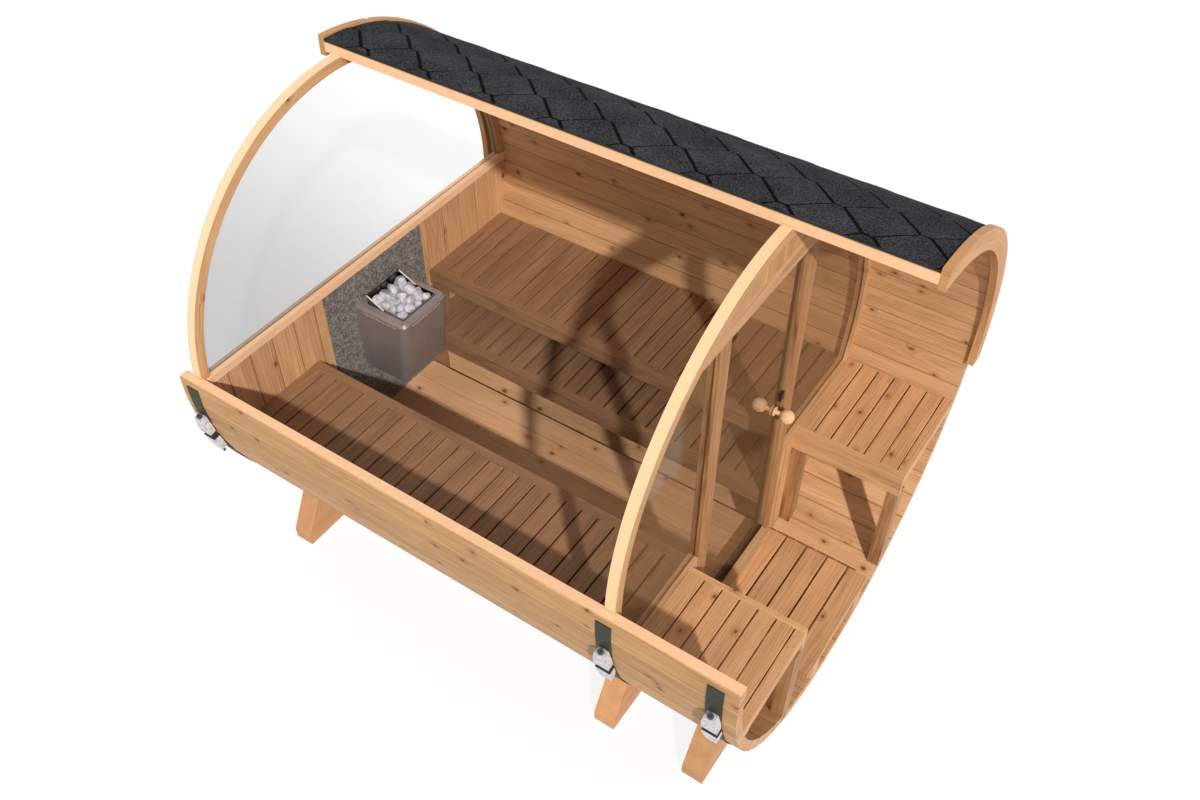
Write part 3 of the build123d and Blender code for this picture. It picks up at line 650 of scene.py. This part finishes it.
def one_tab():
    """A six-sided tab, lifted at its lower edge, cut into strips so that it can bend."""
    bpy.ops.object.select_all(action="DESELECT")
    bpy.ops.mesh.primitive_cylinder_add(vertices=6, radius=1.0, depth=1.0, rotation=(radians(90), 0, 0))
    tab = bpy.context.active_object
    tab.name = "roof_shingles"
    settle(tab)
    tab.rotation_euler = (0, radians(90), 0)
    settle(tab)
    half_width = TAB_TOP / 2 + TAB_RUN - GAP
    half_height = TAB_RISE - GAP
    tab.scale = (half_width, TAB_THICK, half_height / HEX_SHARE)
    settle(tab)

    bpy.ops.object.mode_set(mode="EDIT")
    pick(tab, lambda co: abs(co.z) > ABOVE_MIDDLE)
    narrower = (TAB_TOP / 2 - GAP / 2) / (half_width / 2)
    bpy.ops.transform.resize(value=(narrower, 1, 1 - SHORT_GAP / TAB_RISE), center_override=(0, 0, 0))
    pick(tab, lambda co: co.z > ABOVE_MIDDLE)
    bpy.ops.transform.translate(value=(0, -TAB_LIFT, 0))
    pick(tab, lambda co: abs(co.z) < ABOVE_MIDDLE)
    bpy.ops.transform.translate(value=(0, -TAB_LIFT / 2, 0))
    for left, level, move in ((True, 0, (STEEP_TRIM, 0, STEEP_TRIM)), (False, 0, (-STEEP_TRIM, 0, -STEEP_TRIM)),
                              (True, -1, (2 * STEEP_TRIM, 0, 0)), (False, 1, (-2 * STEEP_TRIM, 0, 0))):
        pick(tab, lambda co: (co.x < 0) == left and round(co.z / half_height) == level)
        bpy.ops.transform.translate(value=move)
    for share in BEND_CUTS:
        slice_at((0, 0, share * TAB_RISE), (0, 0, 1))
    bpy.ops.object.mode_set(mode="OBJECT")
    shaped(tab, "worn_edge", "BEVEL", width=WORN_EDGE, segments=1, limit_method="ANGLE", angle_limit=radians(50))
    return tab


def laid_flat(tab):
    """Courses of tabs with the next courses half a tab over, trimmed to the roof."""
    for label, offset, count in (("courses", (0, 0, PITCH_Z), COURSES), ("row", (PITCH_X, 0, 0), TABS_IN_ROW)):
        shaped(tab, label, "ARRAY", use_relative_offset=False, use_constant_offset=True,
               constant_offset_displace=offset, count=count)
    tab.location = (JOINT_MIDDLE - TABS_BEFORE_JOINT * PITCH_X, 0, FIRST_JOINT - TAB_RISE - PITCH_Z)
    settle(tab)
    between = twin_of(tab)
    between.location = (PITCH_X / 2, 0, TAB_RISE)
    settle(between)
    joined([tab, between])

    only(tab)
    bpy.ops.object.mode_set(mode="EDIT")
    slice_at((0, 0, OPEN_TURN * SHEET_RADIUS), (0, 0, 1), inner=True)
    slice_at((0, 0, ROOF_FOOT * SHEET_RADIUS), (0, 0, 1), outer=True)
    slice_at((END_CLEARANCE - HALF_LENGTH, 0, 0), (1, 0, 0), inner=True)
    slice_at((HALF_LENGTH - END_CLEARANCE, 0, 0), (1, 0, 0), outer=True)
    bpy.ops.object.mode_set(mode="OBJECT")
    return tab


shingles = laid_flat(one_tab())
heights = [corner.co.z for corner in shingles.data.vertices]
shaped(shingles, "round_the_shell", "SIMPLE_DEFORM", deform_method="BEND", deform_axis="X",
       angle=(max(heights) - min(heights)) / SHEET_RADIUS)
shingles.location = (0, AXIS_Y - SHEET_RADIUS, AXIS_Z)
settle(shingles)
dress(shingles, shingle_felt)
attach(shingles, "barrel")

# Heater stones: a few broken shapes, copied and heaped in the tray. A layer has its stones each way, inset and level.
STONE_SHAPES = 5
STONE_FACETS = 7
FACET_REACH = (0.62, 0.82)
CHIP_SIZE = 0.55
CHIP_DEPTH = 0.16
BLUNT_EDGE = 0.05
STONE_SIZE = (0.0235, 0.0290)
STONE_LAYERS = ((4, 0.028, 0.030), (4, 0.028, 0.058), (3, 0.050, 0.078))
BACK_RISE = 0.024
STONE_SHAKE = 0.004
STONE_TILT = 0.5
stone_luck = random.Random(7)


def stone_mould(number):
    """A ball with flat breaks, chipped faces and blunt edges."""
    bpy.ops.object.select_all(action="DESELECT")
    bpy.ops.mesh.primitive_ico_sphere_add(subdivisions=3, radius=1.0)
    lump = bpy.context.active_object
    lump.name = f"stone_mould_{number}"
    lump.rotation_euler = [stone_luck.uniform(0, pi) for _ in range(3)]
    settle(lump)
    bpy.ops.object.mode_set(mode="EDIT")
    for _ in range(STONE_FACETS):
        away = Vector([stone_luck.uniform(-1, 1) for _ in range(3)]).normalized()
        slice_at(away * stone_luck.uniform(*FACET_REACH), away, outer=True)
    bpy.ops.object.mode_set(mode="OBJECT")
    chips = bpy.data.textures.new(f"chips_{number}", "CLOUDS")
    chips.noise_scale = CHIP_SIZE
    shaped(lump, "chipped", "DISPLACE", texture=chips, strength=CHIP_DEPTH)
    shaped(lump, "blunt", "BEVEL", width=BLUNT_EDGE, segments=2, limit_method="ANGLE", angle_limit=radians(28))
    bpy.ops.object.shade_smooth_by_angle(angle=radians(38))
    return lump


def heaped(moulds):
    """Layers of stones that rise towards the wall, each turned and moved a little."""
    def shake():
        return stone_luck.uniform(-STONE_SHAKE, STONE_SHAKE)

    def tilt():
        return stone_luck.uniform(-STONE_TILT, STONE_TILT)

    heap = []
    for count, inset, level in STONE_LAYERS:
        step_x, step_y = ((stone_high[axis] - stone_low[axis] - 2 * inset) / (count - 1) for axis in (0, 1))
        for i in range(count):
            rise = level + BACK_RISE * (1 - i / (count - 1))
            for j in range(count):
                stone = twin_of(moulds[(3 * i + 2 * j + count) % len(moulds)])
                size = stone_luck.uniform(*STONE_SIZE)
                stone.scale = (size * stone_luck.uniform(0.9, 1.25), size * stone_luck.uniform(0.9, 1.2), size)
                stone.rotation_euler = (tilt(), tilt(), stone_luck.uniform(0, 2 * pi))
                stone.location = (stone_low[0] + inset + step_x * i + shake(),
                                  stone_low[1] + inset + step_y * j + shake(), stone_low[2] + rise + shake())
                heap.append(stone)
    return heap


moulds = [stone_mould(number) for number in range(STONE_SHAPES)]
heap = heaped(moulds)
for mould in moulds:
    bpy.data.objects.remove(mould)
pile = joined(heap)
pile.name = "stone_heap"
settle(pile)
dress(pile, stone_face)
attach(pile, "barrel")
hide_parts("heater_stones")


# Stage, light and camera.
AMBIENT = 0.52
FLOOR_GREY = (0.62, 0.62, 0.62, 1.0)
FLOOR_GLOW = 1.10
FLOOR_GLOW_SHARE = 0.80
FLOOR_WIDTH = 60.0
FLOOR_DROP = 0.0005
SUN_STRENGTH = 2.9
SUN_SOFTNESS = radians(2.0)
SUN_COLOUR = (1.0, 0.985, 0.965)
SUN_WAY = Vector((-1.0, 0.87, -1.0))

# The camera that was fitted to the photograph: lengths of the lens in its pixels, the place from the barrel's axis.
PHOTO_WIDTH = 1200
LENS_PIXELS = 1123.4747
SHIFT_PIXELS = (6.314, 8.4844)
SENSOR_WIDTH = 36.0
CAMERA_PLACE = (1.8289, AXIS_Y - 2.6717, AXIS_Z + 3.1053)
CAMERA_TURN = radians(34.0271)
CAMERA_TILT = radians(90 - 46.1175)


def split_by_eye(tree, lit, seen, output):
    """Lights the object with one shader, and shows the other to the camera, in mirrors and through glass."""
    ray = add_node(tree, "ShaderNodeLightPath").outputs
    eye = add_node(tree, "ShaderNodeMath", {0: ray["Is Camera Ray"], 1: ray["Is Glossy Ray"]}, operation="MAXIMUM")
    eye = add_node(tree, "ShaderNodeMath", {0: eye.outputs[0], 1: ray["Is Transmission Ray"]}, operation="MAXIMUM")
    mixed = add_node(tree, "ShaderNodeMixShader", {0: eye.outputs[0], 1: lit.outputs[0], 2: seen.outputs[0]})
    tree.links.new(mixed.outputs[0], tree.nodes[output].inputs[0])


def linked(name, data):
    """A lamp or camera as an object in the scene."""
    made = bpy.data.objects.new(name, data)
    bpy.context.collection.objects.link(made)
    return made


sky = bpy.data.worlds.new("studio")
bpy.context.scene.world = sky
sky.use_nodes = True
ambient = sky.node_tree.nodes["Background"]
ambient.inputs["Color"].default_value = WHITE
ambient.inputs["Strength"].default_value = AMBIENT
seen_sky = add_node(sky.node_tree, "ShaderNodeBackground", {"Color": WHITE, "Strength": 1.0})
split_by_eye(sky.node_tree, ambient, seen_sky, "World Output")

bpy.ops.object.select_all(action="DESELECT")
bpy.ops.mesh.primitive_plane_add(size=FLOOR_WIDTH, location=(0, 0, -FLOOR_DROP))
ground = bpy.context.active_object
ground.name = "studio_floor"
pale_floor = Finish("pale_floor")
pale_floor.set(Base_Color=FLOOR_GREY, Roughness=0.95, Specular_IOR_Level=0.0)
glow = pale_floor.add("ShaderNodeEmission", {"Color": WHITE, "Strength": FLOOR_GLOW})
seen_floor = pale_floor.add("ShaderNodeMixShader", {0: FLOOR_GLOW_SHARE, 1: pale_floor.surface.outputs[0],
                                                    2: glow.outputs[0]})
split_by_eye(pale_floor.tree, pale_floor.surface, seen_floor, "Material Output")
dress(ground, pale_floor)

key = bpy.data.lights.new("key", "SUN")
key.energy = SUN_STRENGTH
key.angle = SUN_SOFTNESS
key.color = SUN_COLOUR
linked("key", key).rotation_euler = SUN_WAY.to_track_quat("-Z", "Y").to_euler()

lens = bpy.data.cameras.new("photo_view")
lens.sensor_width = SENSOR_WIDTH
lens.lens = SENSOR_WIDTH * LENS_PIXELS / PHOTO_WIDTH
lens.shift_x, lens.shift_y = (shift / PHOTO_WIDTH for shift in SHIFT_PIXELS)
camera = linked("photo_view", lens)
camera.matrix_world = (Matrix.Translation(CAMERA_PLACE) @ Matrix.Rotation(CAMERA_TURN, 4, "Z")
                       @ Matrix.Rotation(CAMERA_TILT, 4, "X"))
bpy.context.scene.camera = camera
bpy.context.scene.view_settings.view_transform = "Standard"
